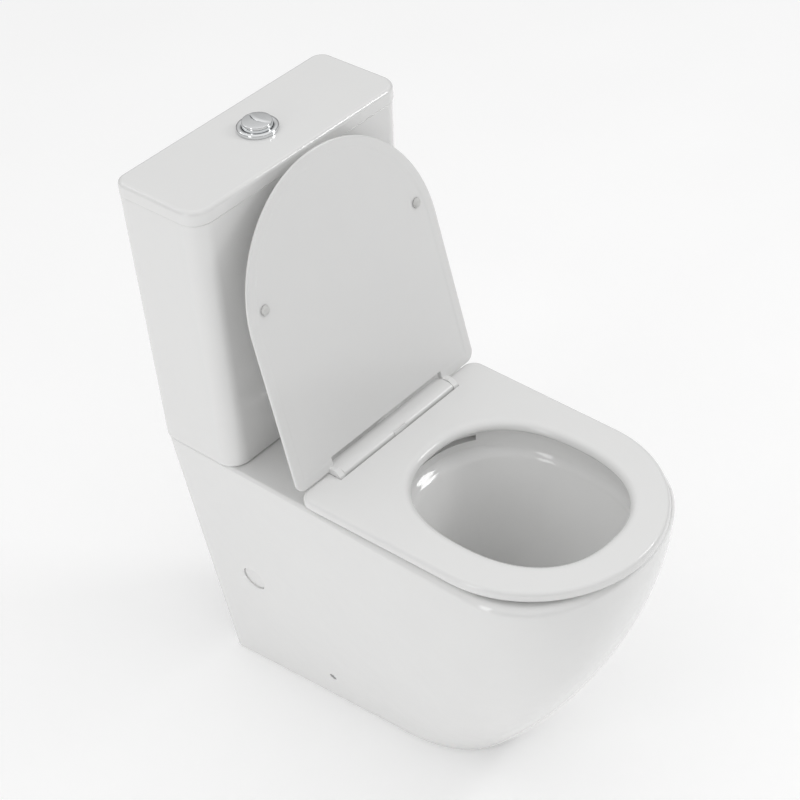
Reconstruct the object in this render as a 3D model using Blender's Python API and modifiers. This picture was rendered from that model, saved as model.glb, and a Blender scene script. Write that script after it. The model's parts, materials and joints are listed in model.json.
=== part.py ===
"""Close coupled toilet: pan, cistern, dual flush, fill valve, seat and cover.

Metres, +Z up.  The front of the pan points to -Y and the back stands against a wall at
y = DEPTH / 2.  Depths are given as distances out from that wall, see Y().
"""
import math

import bmesh
import bpy
from mathutils import Matrix, Vector

# ------------------------------------------------------------------ driving dimensions
DEPTH = 0.640          # wall to the tip of the seat
GAP = 0.0003           # clearance between neighbouring pieces
SHELF = 0.4375         # top of the pan
SEAT_TOP = 0.4577      # top face of the lowered seat
TANK_Z0 = 0.4380       # underside of the cistern
TANK_Z1 = 0.8158       # rim of the cistern
LID_Z0 = 0.8162
LID_Z1 = 0.8358
LID_W = 0.1825         # half width of the lid
LID_D = 0.1381         # depth of the lid
TANK_FLOOR = 0.4500    # inside floor of the cistern
VALVE_D = 0.0650       # flush valve, inlet and coupling bolts, out from the wall
BOLT_X = 0.0800
FILL_X = -0.1150
BTN_R = 0.0192         # flush button
BTN_RISE = 0.0120      # its top over the lid
AXIS_D = 0.2522        # seat and cover hinge line
AXIS_Z = 0.4555
COVER_OPEN = math.radians(103.0)
BAR_R = 0.0092
BAR_X = 0.1060
KNUCKLE_X0 = 0.1064
KNUCKLE_X1 = 0.1150
NOTCH_X = 0.1156
POST_X = 0.0775
OUTLET_Z = 0.1800
CAP_D, CAP_Z, CAP_R = 0.0980, 0.2080, 0.0185
FIX_D, FIX_Z = 0.2017, 0.0600
WALL = 0.0110

OBJECT = "close_coupled_toilet"


def Y(d):
    """Distance out from the wall to the y coordinate."""
    return DEPTH / 2 - d


def lerp(a, b, u):
    return a + (b - a) * u


def flare(u, power):
    """Quick then slowing growth from 0 to 1."""
    return 1 - (1 - u) ** power


# ------------------------------------------------------------------ scene and materials
for o in list(bpy.data.objects):
    bpy.data.objects.remove(o, do_unlink=True)
for c in list(bpy.data.collections):
    bpy.data.collections.remove(c)

PARTS = bpy.data.collections.new(OBJECT)
CUTTERS = bpy.data.collections.new("cutters")
bpy.context.scene.collection.children.link(PARTS)
bpy.context.scene.collection.children.link(CUTTERS)

LOOKS = {
    "glaze": ((0.86, 0.86, 0.87), 0.08, 0.0),
    "seat": ((0.86, 0.86, 0.86), 0.16, 0.0),
    "chrome": ((0.80, 0.81, 0.82), 0.06, 1.0),
    "steel": ((0.60, 0.61, 0.62), 0.28, 1.0),
    "brass": ((0.72, 0.55, 0.24), 0.25, 1.0),
    "plastic": ((0.72, 0.73, 0.74), 0.45, 0.0),
    "grey": ((0.30, 0.31, 0.32), 0.50, 0.0),
    "rubber": ((0.05, 0.05, 0.05), 0.75, 0.0),
}


def paint(obj, look):
    rgb, rough, metal = LOOKS[look]
    mat = bpy.data.materials.new("mat_" + obj.name)
    mat.use_nodes = True
    sh = mat.node_tree.nodes["Principled BSDF"]
    sh.inputs["Base Color"].default_value = (*rgb, 1)
    sh.inputs["Roughness"].default_value = rough
    sh.inputs["Metallic"].default_value = metal
    obj.data.materials.append(mat)


def register(ob, look=None):
    """File an object as a part when it has a look, otherwise as a cutter."""
    for c in list(ob.users_collection):
        c.objects.unlink(ob)
    (PARTS if look else CUTTERS).objects.link(ob)
    if look:
        ob.data.shade_smooth()
        ob.data.set_sharp_from_angle(angle=math.radians(32))
        paint(ob, look)
    else:
        ob.hide_render = True
        ob.display_type = "WIRE"
    return ob


def wrap(name, bm, look=None, at=(0, 0, 0), turn=None):
    """bmesh, drawn about its own origin, to a named object placed in the world."""
    me = bpy.data.meshes.new(name)
    bm.to_mesh(me)
    bm.free()
    ob = bpy.data.objects.new(name, me)
    ob.location = at
    if turn is not None:
        ob.rotation_euler = turn.to_euler()
    return register(ob, look)


def combine(target, tool, op):
    mod = target.modifiers.new(tool.name, "BOOLEAN")
    mod.operation = op
    mod.solver = "EXACT"
    mod.object = tool
    return target


def cut(target, *tools):
    for t in tools:
        combine(target, t, "DIFFERENCE")


def join(target, *tools):
    for t in tools:
        combine(target, t, "UNION")


# ------------------------------------------------------------------ mesh builders
def loft(name, rings, look=None):
    """Skin through unlike rings of equal length, with flat caps."""
    bm = bmesh.new()
    vs = [[bm.verts.new(p) for p in r] for r in rings]
    n = len(rings[0])
    for a, b in zip(vs, vs[1:]):
        for j in range(n):
            k = (j + 1) % n
            bm.faces.new((a[j], a[k], b[k], b[j]))
    bm.faces.new(vs[0][::-1])
    bm.faces.new(vs[-1])
    bmesh.ops.recalc_face_normals(bm, faces=bm.faces)
    return wrap(name, bm, look)


def pointing(axis):
    """Rotation that carries +Z onto the axis, with the flats of a prism facing Y."""
    w = Vector(axis).normalized()
    if w.z > 0.999:
        return Matrix.Identity(3)
    u = Vector((1, 0, 0)) if abs(w.y) > 0.9 else Vector((0, 1, 0)).cross(w).normalized()
    return Matrix((u, w.cross(u), w)).transposed()


def turned(name, centre, profile, look=None, axis=(0, 0, 1), seg=20):
    """Solid of revolution: a Screw on a profile of (radius, height) pairs."""
    pts = list(profile)
    area = sum(p[0] * q[1] - q[0] * p[1] for p, q in zip(pts, pts[1:] + pts[:1]))
    if area > 0:
        pts.reverse()
    n = len(pts)
    on_axis = [i for i in range(n) if pts[i][0] < 1e-9 and pts[(i + 1) % n][0] < 1e-9]
    if on_axis:
        k = on_axis[0] + 1
        pts = pts[k:] + pts[:k]
    me = bpy.data.meshes.new(name)
    links = [(i, i + 1) for i in range(n - 1)] + ([] if on_axis else [(n - 1, 0)])
    me.from_pydata([(r, 0, h) for r, h in pts], links, [])
    ob = bpy.data.objects.new(name, me)
    ob.location = centre
    ob.rotation_euler = pointing(axis).to_euler()
    mod = ob.modifiers.new("turn", "SCREW")
    mod.steps = mod.render_steps = seg
    mod.use_merge_vertices = True
    mod.merge_threshold = 0.00001
    mod.use_smooth_shade = False
    return register(ob, look)


def rod(name, centre, r, h0, h1, look=None, axis=(0, 0, 1), seg=20):
    """Cylinder from height h0 to h1 along the axis through the centre."""
    bm = bmesh.new()
    bmesh.ops.create_cone(bm, cap_ends=True, segments=seg, radius1=r, radius2=r, depth=abs(h1 - h0))
    w = Vector(axis).normalized()
    return wrap(name, bm, look, Vector(centre) + w * (h0 + h1) / 2, pointing(axis))


def tube_ring(name, centre, r0, r1, h0, h1, look=None, axis=(0, 0, 1), seg=24):
    return turned(name, centre, [(r0, h0), (r1, h0), (r1, h1), (r0, h1)], look, axis, seg)


def box(name, x0, x1, y0, y1, z0, z1, look=None):
    bm = bmesh.new()
    bmesh.ops.create_cube(bm, size=1)
    bmesh.ops.scale(bm, vec=(abs(x1 - x0), abs(y1 - y0), abs(z1 - z0)), verts=bm.verts)
    return wrap(name, bm, look, ((x0 + x1) / 2, (y0 + y1) / 2, (z0 + z1) / 2))


def from_curve(name, cu, look, place):
    """Curve data to a welded mesh object with the given world matrix."""
    tmp = bpy.data.objects.new("tmp", cu)
    bpy.context.scene.collection.objects.link(tmp)
    dg = bpy.context.evaluated_depsgraph_get()
    me = bpy.data.meshes.new_from_object(tmp.evaluated_get(dg))
    bpy.data.objects.remove(tmp, do_unlink=True)
    bm = bmesh.new()
    bm.from_mesh(me)
    bmesh.ops.remove_doubles(bm, verts=bm.verts, dist=0.00001)
    bmesh.ops.recalc_face_normals(bm, faces=bm.faces)
    bm.to_mesh(me)
    bm.free()
    me.materials.clear()
    ob = bpy.data.objects.new(name, me)
    ob.matrix_world = place
    return register(ob, look)


def plate(name, outline, t0, t1, look=None, plane="XY", at=(0, 0, 0), bevel=0.0):
    """Flat outline given thickness from t0 to t1 along the third axis.

    XY: (x, y) rising along Z.  XZ: (x, z) across Y.  YZ: (out from the wall, z) across X.
    """
    cu = bpy.data.curves.new(name, "CURVE")
    cu.dimensions = "2D"
    cu.fill_mode = "BOTH"
    cu.extrude = abs(t1 - t0) / 2 - bevel
    cu.bevel_depth = bevel
    cu.bevel_resolution = 1
    if bevel:
        cu.offset = -bevel
    sp = cu.splines.new("POLY")
    sp.points.add(len(outline) - 1)
    for p, q in zip(sp.points, outline):
        p.co = (q[0], q[1], 0, 1)
    sp.use_cyclic_u = True
    cols = {"XY": ((1, 0, 0), (0, 1, 0)), "XZ": ((1, 0, 0), (0, 0, 1)), "YZ": ((0, -1, 0), (0, 0, 1))}[plane]
    u, v = Vector(cols[0]), Vector(cols[1])
    w = u.cross(v)
    mid = Vector({"XY": (0, 0, 1), "XZ": (0, 1, 0), "YZ": (1, 0, 0)}[plane]) * ((t0 + t1) / 2)
    rot = Matrix((u, v, w)).transposed().to_4x4()
    return from_curve(name, cu, look, Matrix.Translation(Vector(at) + mid) @ rot)


def pipe(name, path, r, seg=16, look=None):
    """Round tube along a path of (d, z) points in the middle plane."""
    cu = bpy.data.curves.new(name, "CURVE")
    cu.dimensions = "3D"
    cu.bevel_depth = r
    cu.bevel_resolution = seg // 2 - 2
    cu.use_fill_caps = True
    sp = cu.splines.new("POLY")
    sp.points.add(len(path) - 1)
    for p, (d, z) in zip(sp.points, path):
        p.co = (0, Y(d), z, 1)
    return from_curve(name, cu, look, Matrix.Identity(4))


def block(name, rings, radii, lower=0.0, upper=0.0, look=None, steps=(4, 3)):
    """Box whose two rings (half width, wall side, front side, z) may differ, with bevelled edges.

    radii: front and rear vertical corners.  lower and upper: radius of those rims.
    """
    bm = bmesh.new()
    bmesh.ops.create_cube(bm, size=2)
    for v in bm.verts:
        hw, d0, d1, z = rings[0] if v.co.z < 0 else rings[1]
        v.co = (math.copysign(hw, v.co.x), Y(d0) if v.co.y > 0 else Y(d1), z)
    z0, z1 = rings[0][3], rings[1][3]
    for k, front in ((0, True), (1, False)):
        mid = Y((rings[0][1] + rings[0][2]) / 2)
        edges = [e for e in bm.edges if abs(e.verts[0].co.z - e.verts[1].co.z) > (z1 - z0) / 2
                 and (e.verts[0].co.y < mid) == front]
        bmesh.ops.bevel(bm, geom=edges, offset=radii[k], offset_type="OFFSET", segments=steps[0], profile=0.5,
                        affect="EDGES")
    for z, r in ((z0, lower), (z1, upper)):
        if r:
            edges = [e for e in bm.edges if all(abs(v.co.z - z) < 1e-6 for v in e.verts)]
            bmesh.ops.bevel(bm, geom=edges, offset=r, offset_type="OFFSET", segments=steps[1], profile=0.5,
                            affect="EDGES")
    bmesh.ops.recalc_face_normals(bm, faces=bm.faces)
    return wrap(name, bm, look)


def hex_nut(name, centre, r_bore, r_out, h0, h1, look):
    """Hexagon nut with a round bore; r_out is to the corners."""
    nut = rod(name, centre, r_out, h0, h1, look, seg=6)
    cut(nut, rod("cut_" + name, centre, r_bore, h0 - 0.005, h1 + 0.005, seg=28))
    return nut


def pivot(name, at, parent=None):
    """Empty on a joint's line; the pieces that move with it hang from it."""
    e = bpy.data.objects.new(name, None)
    e.location = at
    PARTS.objects.link(e)
    if parent:
        bpy.context.view_layer.update()
        e.parent = parent
        e.matrix_parent_inverse = parent.matrix_world.inverted()
    return e


def hang(empty, names):
    bpy.context.view_layer.update()
    for n in names:
        ob = bpy.data.objects[n]
        ob.parent = empty
        ob.matrix_parent_inverse = empty.matrix_world.inverted()


def smooth_path(knots, steps):
    """Catmull-Rom curve through the knots."""
    out = []
    for i in range(len(knots) - 1):
        p0, p1 = knots[max(i - 1, 0)], knots[i]
        p2, p3 = knots[i + 1], knots[min(i + 2, len(knots) - 1)]
        for s in range(steps):
            t = s / steps
            out.append(tuple(0.5 * (2 * b + (c - a) * t + (2 * a - 5 * b + 4 * c - d) * t * t
                                    + (3 * b - a - 3 * c + d) * t ** 3)
                             for a, b, c, d in zip(p0, p1, p2, p3)))
    return out + [tuple(knots[-1])]


def dshape(wr, wm, d0, dm, dtip, n, z, rc=0.02, e=0.0, ncorner=3, nside=4, nfront=9, rear_in=True):
    """Ring with a straight back, gently widening sides and a superelliptic front."""
    wr, wm, dtip = wr - e, wm - e, dtip - e
    d0 = d0 + e if rear_in else d0
    rc = max(rc - e, 0.001)
    half = [(wr - rc, d0)]
    for k in range(1, ncorner + 1):
        t = math.radians(-90 + 90 * k / ncorner)
        half.append((wr - rc + rc * math.cos(t), d0 + rc + rc * math.sin(t)))
    for k in range(1, nside + 1):
        u = k / nside
        half.append((lerp(wr, wm, u), lerp(d0 + rc, dm, u)))
    for k in range(1, nfront + 1):
        t = math.radians(90 * k / nfront)
        x = wm * math.cos(t) ** (2 / n) if k < nfront else 0.0
        half.append((x, dm + (dtip - dm) * math.sin(t) ** (2 / n)))
    ring = half + [(-x, d) for x, d in half[-2::-1]]
    return [(x, Y(d), z) for x, d in ring]


def oval(dc, a, b, n, z, seg=36):
    """Superelliptic ring about (0, dc), half length a along Y and half width b."""
    out = []
    for k in range(seg):
        t = 2 * math.pi * (k + 0.5) / seg
        c, s = math.cos(t), math.sin(t)
        out.append((math.copysign(b * abs(c) ** (2 / n), c), Y(dc) + math.copysign(a * abs(s) ** (2 / n), s), z))
    return out


def edge(r, steps):
    """(inset, drop) pairs of a rounded upper edge, outermost first."""
    return [(r * (1 - math.cos(math.radians(90 * k / steps))), r * (1 - math.sin(math.radians(90 * k / steps))))
            for k in range(steps + 1)]


# ------------------------------------------------------------------ pan
FOOT_TIP, RIM_TIP = 0.4303, 0.6328      # front of the pan at the floor and at the rim
FOOT_MID, RIM_MID = 0.0873, 0.1683      # widest half width
FOOT_DM, RIM_DM = 0.292, 0.504          # where the front curve starts
FOOT_REAR, RIM_REAR = 0.1060, 0.1675    # half width at the wall


def pan_ring(z, e=0.0, zz=None, back=0.0, **kw):
    u = min(max(z / SHELF, 0.0), 1.0)
    return dshape(lerp(FOOT_REAR, RIM_REAR, u) - e, lerp(FOOT_MID, RIM_MID, flare(u, 1.92)) - e, back,
                  lerp(FOOT_DM, RIM_DM, flare(u, 1.56)), lerp(FOOT_TIP, RIM_TIP, flare(u, 1.76)) - e,
                  2.18, z if zz is None else zz, rc=0.014, **kw)


def rim_ring(k, steps):
    """Step k of the rounded rim, whose radius grows from the cistern to the front."""
    out = []
    for j, p in enumerate(pan_ring(SHELF)):
        u = min(max((Y(0.240) - p[1]) / 0.200, 0.0), 1.0)
        inset, drop = edge(lerp(0.0060, 0.0120, u * u * (3 - 2 * u)), steps)[k]
        out.append(pan_ring(SHELF - drop, e=inset)[j])
    return out


outer = [pan_ring(z) for z in (0.0, 0.05, 0.10, 0.15, 0.20, 0.25, 0.30, 0.35, 0.395)]
outer += [rim_ring(k, 3) for k in range(4)]
pan = loft("pan", outer, "glaze")

SHELF_T = 0.0120
few = dict(ncorner=1, nside=3, nfront=6)
cavity = [pan_ring(0.0, WALL, -0.01, back=WALL, **few)]
cavity += [pan_ring(z, WALL, back=WALL, **few) for z in (0.06, 0.12, 0.18, 0.25, 0.32, 0.375)]
cavity += [pan_ring(SHELF, WALL + 0.003, SHELF - SHELF_T, back=WALL, **few)]
cut(pan, loft("cut_pan_cavity", cavity))

LEDGE_Z, SUMP_Z = 0.398, 0.140


def bowl(z, e=0.0, seg=36, zz=None):
    """Inside of the bowl, narrowing and moving back as it goes down to the sump."""
    v = min(max((LEDGE_Z - z) / (LEDGE_Z - SUMP_Z), 0.0), 1.0)
    return oval(0.4590 - 0.0930 * v ** 1.5, lerp(0.1440, 0.0440, v) + e, lerp(0.1165, 0.0410, v ** 0.93) + e, 2.25,
                z if zz is None else zz, seg)


def mouth(z, e=0.0, seg=36, mix=1.0):
    """Mouth of the bowl over its washing ledge; mix 0 is the ledge's own outline."""
    return oval(lerp(0.4590, 0.4545, mix), lerp(0.1440, 0.1560, mix) + e, lerp(0.1165, 0.1255, mix) + e, 2.25, z, seg)


depths = (LEDGE_Z, 0.360, 0.310, 0.260, 0.215, 0.175, 0.140)
bowl_out = [mouth(SHELF - 0.006, 0.0110, 28), mouth(0.412, 0.0110, 28)] + [bowl(z, 0.0100, 28) for z in depths[1:]]
bowl_out.append(bowl(SUMP_Z, -0.020, 28, 0.106))
join(pan, loft("add_bowl", bowl_out))

TRAP = smooth_path([(0.366, 0.168), (0.335, 0.131), (0.290, 0.113), (0.247, 0.131), (0.218, 0.176), (0.188, 0.222),
                    (0.150, 0.237), (0.113, 0.222), (0.086, 0.192), (0.060, OUTLET_Z)], 2)
TRAP[-1] = (0.060, OUTLET_Z)
join(pan, pipe("add_trap", TRAP + [(0.020, OUTLET_Z)], 0.0500, 14))
DUCT = smooth_path([(VALVE_D, 0.416), (VALVE_D, 0.397), (0.084, 0.380), (0.125, 0.374), (0.190, 0.378),
                    (0.282, 0.393)], 2)
join(pan, pipe("add_duct", DUCT, 0.0345, 12))


def arc_band(e, half_angle=58, n=12):
    """Rear stretch of the mouth's outline, grown by e and closed by a chord across the bowl."""
    out = []
    for k in range(n + 1):
        t = math.radians(lerp(90 - half_angle, 90 + half_angle, k / n))
        c, s = math.cos(t), math.sin(t)
        out.append((math.copysign((0.1255 + e) * abs(c) ** (2 / 2.25), c), Y(0.4545) + (0.1560 + e) * s ** (2 / 2.25)))
    return out


# flush water comes up behind the bowl and out of a slot under the rear of the rim
join(pan, plate("add_slot", arc_band(0.022), 0.408, SHELF - 0.004))
join(pan, box("add_plenum", -0.042, 0.042, Y(0.300), Y(0.256), 0.388, SHELF - 0.004))
join(pan, turned("add_inlet", (0, Y(VALVE_D), 0), [(0, 0.402), (0.046, 0.402), (0.0575, 0.4165), (0.0575, SHELF - 0.004),
                                                   (0, SHELF - 0.004)], seg=24))

bowl_in = [mouth(SHELF + 0.010, 0.0080), mouth(SHELF, 0.0030), mouth(SHELF - 0.0040, 0.0), mouth(0.4140, -0.0010),
           mouth(0.4060, -0.0020, mix=0.6)]
bowl_in += [bowl(z) for z in depths] + [bowl(SUMP_Z, -0.016, 36, 0.118)]
cut(pan, loft("cut_bowl", bowl_in))
cut(pan, pipe("cut_trap", TRAP + [(-0.030, OUTLET_Z)], 0.0400))
cut(pan, pipe("cut_duct", [(VALVE_D, 0.432)] + DUCT[1:-1] + [(0.282, 0.393)], 0.0262, 12))
cut(pan, box("cut_plenum", -0.030, 0.030, Y(0.2890), Y(0.2680), 0.392, SHELF - 0.0070))
cut(pan, plate("cut_slot", arc_band(0.0115, 40), SHELF - 0.0150, SHELF - 0.0070))
cut(pan, rod("cut_inlet", (0, Y(VALVE_D), 0), 0.0485, 0.4222, SHELF + 0.01, seg=24))
cut(pan, box("cut_back", -0.080, 0.080, Y(0.0145), Y(-0.01), -0.01, 0.292))
for s, side in ((-1, "left"), (1, "right")):
    cut(pan, rod("cut_bolt_" + side, (s * BOLT_X, Y(VALVE_D), 0), 0.0055, SHELF - 0.03, SHELF + 0.01, seg=14))
    cut(pan, rod("cut_hinge_" + side, (s * POST_X, Y(AXIS_D), 0), 0.0062, SHELF - 0.03, SHELF + 0.01, seg=14))
cut(pan, rod("cut_supply", (FILL_X, Y(VALVE_D), 0), 0.0190, SHELF - 0.03, SHELF + 0.01, seg=18))

SLOPE = math.atan((RIM_REAR - FOOT_REAR) / SHELF)
CAP_X = lerp(FOOT_REAR, RIM_REAR, CAP_Z / SHELF) + 0.0009


def flank(s):
    """Outward normal of the flank on side s."""
    return (s * math.cos(SLOPE), 0, -math.sin(SLOPE))


for s, side in ((-1, "left"), (1, "right")):
    cut(pan, rod("cut_cap_" + side, (s * CAP_X, Y(CAP_D), CAP_Z), CAP_R + 0.0003, -0.025, 0.01, axis=flank(s), seg=24))
    cut(pan, turned("cut_fix_" + side, (0, Y(FIX_D), FIX_Z),
                    [(0, s * 0.088), (0.0036, s * 0.088), (0.0036, s * 0.1040), (0.0055, s * 0.1040),
                     (0.0055, s * 0.125), (0, s * 0.125)], axis=(1, 0, 0), seg=16))

# access caps, floor brackets and their screws
for s, side in ((-1, "left"), (1, "right")):
    turned("side_cap_" + side, (s * CAP_X, Y(CAP_D), CAP_Z),
           [(0, -0.0012), (CAP_R - 0.0006, -0.0012), (CAP_R, -0.0020), (CAP_R, -0.0105), (CAP_R - 0.0022, -0.0105),
            (CAP_R - 0.0022, -0.0042), (0, -0.0042)], "seat", axis=flank(s), seg=24)
    ell = ((0.046, GAP), (0.0840, GAP), (0.0840, 0.078), (0.0800, 0.078), (0.0800, 0.0043), (0.046, 0.0043))
    br = plate("floor_bracket_" + side, [(s * x, z) for x, z in ell], -0.017, 0.017, "steel", "XZ", (0, Y(FIX_D), 0))
    cut(br, rod("cut_brk_a_" + side, (0, Y(FIX_D), FIX_Z), 0.0030, s * 0.074, s * 0.090, axis=(1, 0, 0), seg=12))
    cut(br, rod("cut_brk_b_" + side, (s * 0.062, Y(FIX_D), 0), 0.0034, -0.01, 0.02, seg=12))
    turned("side_screw_" + side, (0, Y(FIX_D), FIX_Z),
           [(0, s * 0.0760), (0.0027, s * 0.0760), (0.0027, s * 0.1043), (0.0050, s * 0.1043), (0.0050, s * 0.1066),
            (0.0036, s * 0.1076), (0, s * 0.1076)], "steel", axis=(1, 0, 0), seg=16)
    turned("floor_screw_" + side, (s * 0.062, Y(FIX_D), 0),
           [(0, 0.0005), (0.0030, 0.0005), (0.0030, 0.0046), (0.0068, 0.0046), (0.0068, 0.0086), (0.0045, 0.0096),
            (0, 0.0096)], "steel", seg=12)

# ------------------------------------------------------------------ cistern
TANK_WALL = 0.0090


def tank_ring(z, e=0.0, zz=None):
    u = min(max((z - TANK_Z0) / (TANK_Z1 - TANK_Z0), 0.0), 1.0)
    return (lerp(0.1704, 0.1808, u) - e, e, lerp(0.1309, 0.1368, u) - e, z if zz is None else zz)


tank = block("cistern_tank", (tank_ring(TANK_Z0), tank_ring(TANK_Z1)), (0.027, 0.016), 0.004, 0.0015, "glaze",
             (4, 2))
cut(tank, block("cut_tank", (tank_ring(TANK_FLOOR, TANK_WALL), tank_ring(TANK_Z1, TANK_WALL, TANK_Z1 + 0.01)),
                (0.018, 0.008), 0.008, 0, None, (4, 2)))
cut(tank, rod("cut_valve", (0, Y(VALVE_D), 0), 0.0300, TANK_Z0 - 0.01, TANK_FLOOR + 0.01, seg=28))
cut(tank, rod("cut_fill", (FILL_X, Y(VALVE_D), 0), 0.0080, TANK_Z0 - 0.01, TANK_FLOOR + 0.01, seg=16))
for s, side in ((-1, "left"), (1, "right")):
    cut(tank, rod("cut_tbolt_" + side, (s * BOLT_X, Y(VALVE_D), 0), 0.0050, TANK_Z0 - 0.01, TANK_FLOOR + 0.01, seg=14))


def lid_ring(e, z):
    return (LID_W - e, e, LID_D - e, z)


RIB = 0.0126
lid = block("cistern_lid", (lid_ring(0, LID_Z0), lid_ring(0, LID_Z1)), (0.028, 0.018), 0.0015, 0.0060, "glaze", (6, 3))
join(lid, block("add_rib", (lid_ring(RIB, LID_Z0 - 0.009), lid_ring(RIB, LID_Z1 - 0.012)), (0.016, 0.007)))
cut(lid, block("cut_lid", (lid_ring(RIB + 0.005, LID_Z0 - 0.02), lid_ring(RIB + 0.005, LID_Z1 - 0.0095)), (0.011, 0.003)))
cut(lid, rod("cut_lid_hole", (0, Y(VALVE_D), 0), 0.0219, LID_Z0 - 0.02, LID_Z1 + 0.01, seg=32))

# ------------------------------------------------------------------ dual flush button
AT = (0, Y(VALVE_D), 0)
TOP = LID_Z1
turned("flush_bezel", AT,
       [(BTN_R + 0.0003, TOP - 0.046), (0.0215, TOP - 0.046), (0.0215, TOP + GAP), (0.0262, TOP + GAP),
        (0.0262, TOP + 0.0040), (0.0246, TOP + 0.0056), (0.0222, TOP + 0.0058), (BTN_R + 0.0003, TOP + 0.0044)], "chrome", seg=32)
turned("button_sleeve_nut", AT, [(0.0218, TOP - 0.0168), (0.0290, TOP - 0.0168), (0.0290, TOP - 0.0098),
                                       (0.0218, TOP - 0.0098)], "plastic", seg=24)

SPLIT_C, SPLIT_R = 0.0275, 0.0285      # centre and radius of the curved split


def button(name, big):
    """Half of the round button, bounded by the rim circle and the curved split."""
    r = BTN_R
    g = 0.00025
    rs = SPLIT_R + (g if big else -g)
    a = math.acos((SPLIT_C ** 2 + rs ** 2 - r ** 2) / (2 * SPLIT_C * rs))
    arc = []
    for k in range(9):
        t = lerp(-a, a, k / 8)
        arc.append((SPLIT_C - rs * math.cos(t), rs * math.sin(t)))
    a0 = math.atan2(arc[-1][1], arc[-1][0])
    rim = []
    span = (a0, 2 * math.pi - a0) if big else (a0, -a0)
    m = 16
    for k in range(1, m):
        t = lerp(span[0], span[1], k / m)
        rim.append((r * math.cos(t), r * math.sin(t)))
    return plate(name, arc + rim, TOP - 0.012, TOP + BTN_RISE, "chrome", "XY", (0, Y(VALVE_D), 0), 0.0010)


button("full_flush_button", True)
button("half_flush_button", False)
rod("full_flush_rod", (-0.0160, Y(VALVE_D), 0), 0.0026, 0.7215, TOP - 0.0123, "plastic", seg=12)
rod("half_flush_rod", (0.0160, Y(VALVE_D), 0), 0.0026, 0.7215, TOP - 0.0123, "plastic", seg=12)

# ------------------------------------------------------------------ flush valve
F = TANK_FLOOR
body = turned("flush_valve_body", AT,
              [(0.0235, 0.4232), (0.0290, 0.4232), (0.0290, F + GAP), (0.0380, F + GAP), (0.0380, F + 0.0045),
               (0.0300, F + 0.0045), (0.0300, 0.700), (0.0138, 0.700), (0.0138, 0.6955), (0.0272, 0.6955),
               (0.0272, F + 0.0045), (0.0235, F + 0.0045)], "plastic", seg=24)
for k, (x0, x1, y0, y1) in enumerate(((-0.05, 0.05, -0.0165, 0.0165), (-0.0165, 0.0165, -0.05, 0.05))):
    cut(body, box("cut_window_%d" % k, x0, x1, Y(VALVE_D) + y0, Y(VALVE_D) + y1, F + 0.0075, F + 0.052))
for s, side in ((-1, "full"), (1, "half")):
    join(body, box("add_pad_" + side, s * 0.0137, s * 0.0225, Y(VALVE_D) - 0.005, Y(VALVE_D) + 0.005,
                   0.698, 0.7125))
turned("flush_valve_piston", AT,
                [(0.0098, 0.4590), (0.0262, 0.4590), (0.0262, 0.4625), (0.0128, 0.4660), (0.0128, 0.7420),
                 (0.0098, 0.7420)], "grey", seg=18)
tube_ring("flush_valve_seal", AT, 0.0150, 0.0268, F + 0.0048, 0.4587, "rubber", seg=18)
hex_nut("flush_valve_backnut", AT, 0.0293, 0.0400, 0.4288, TANK_Z0 - 0.0006, "plastic")
turned("coupling_gasket", AT, [(0.0315, 0.4226), (0.0480, 0.4226), (0.0480, TANK_Z0 - 0.0006), (0.0420, TANK_Z0 - 0.0006),
                               (0.0420, 0.4284), (0.0315, 0.4284)], "rubber", seg=18)

# coupling bolts hold the cistern down on the pan
for s, side in ((-1, "left"), (1, "right")):
    at = (s * BOLT_X, Y(VALVE_D), 0)
    tube_ring("coupling_washer_" + side, at, 0.0044, 0.0115, F + GAP, F + 0.0030, "rubber", seg=16)
    turned("coupling_bolt_" + side, at, [(0, 0.394), (0.0040, 0.394), (0.0040, F + 0.0033), (0.0085, F + 0.0033),
                                         (0.0085, F + 0.0080), (0, F + 0.0095)], "brass", seg=14)
    w = turned("wing_nut_" + side, at, [(0.0043, 0.4120), (0.0085, 0.4120), (0.0115, 0.4225), (0.0115, 0.4250),
                                        (0.0043, 0.4250)], "plastic", seg=16)
    for j, q in enumerate((-1, 1)):
        join(w, box("add_wing_%s%d" % (side, j), at[0] + q * 0.0125 - 0.0055, at[0] + q * 0.0125 + 0.0055,
                    at[1] - 0.0018, at[1] + 0.0018, 0.4130, 0.4230))

# ------------------------------------------------------------------ fill valve
FA = (FILL_X, Y(VALVE_D), 0)
fill = turned("fill_valve_body", FA,
              [(0, 0.3950), (0.0072, 0.3950), (0.0072, F + 0.0025), (0.0165, F + 0.0025), (0.0165, F + 0.0065),
               (0.0115, F + 0.0065), (0.0115, 0.640), (0.0090, 0.6420), (0.0090, 0.6900), (0.0140, 0.6920),
               (0.0140, 0.7080), (0, 0.7120)], "plastic", seg=16)
join(fill, box("add_pivot", FILL_X - 0.024, FILL_X - 0.010, FA[1] - 0.0055, FA[1] + 0.0055, 0.6935, 0.7065))
cut(fill, box("cut_fork", FILL_X - 0.030, FILL_X - 0.0165, FA[1] - 0.0026, FA[1] + 0.0026, 0.690, 0.710))
tube_ring("fill_valve_washer", FA, 0.0076, 0.0160, F + GAP, F + 0.0022, "rubber", seg=16)
hex_nut("fill_valve_nut", FA, 0.0075, 0.0150, 0.4290, TANK_Z0 - 0.0006, "plastic")
flo = turned("fill_valve_float", FA, [(0.0125, 0.545), (0.0270, 0.545), (0.0295, 0.548), (0.0295, 0.605),
                                      (0.0270, 0.608), (0.0125, 0.608)], "grey", seg=20)
join(flo, rod("add_float_rod", (FILL_X + 0.0220, FA[1], 0), 0.0020, 0.600, 0.6963, seg=10))
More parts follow.
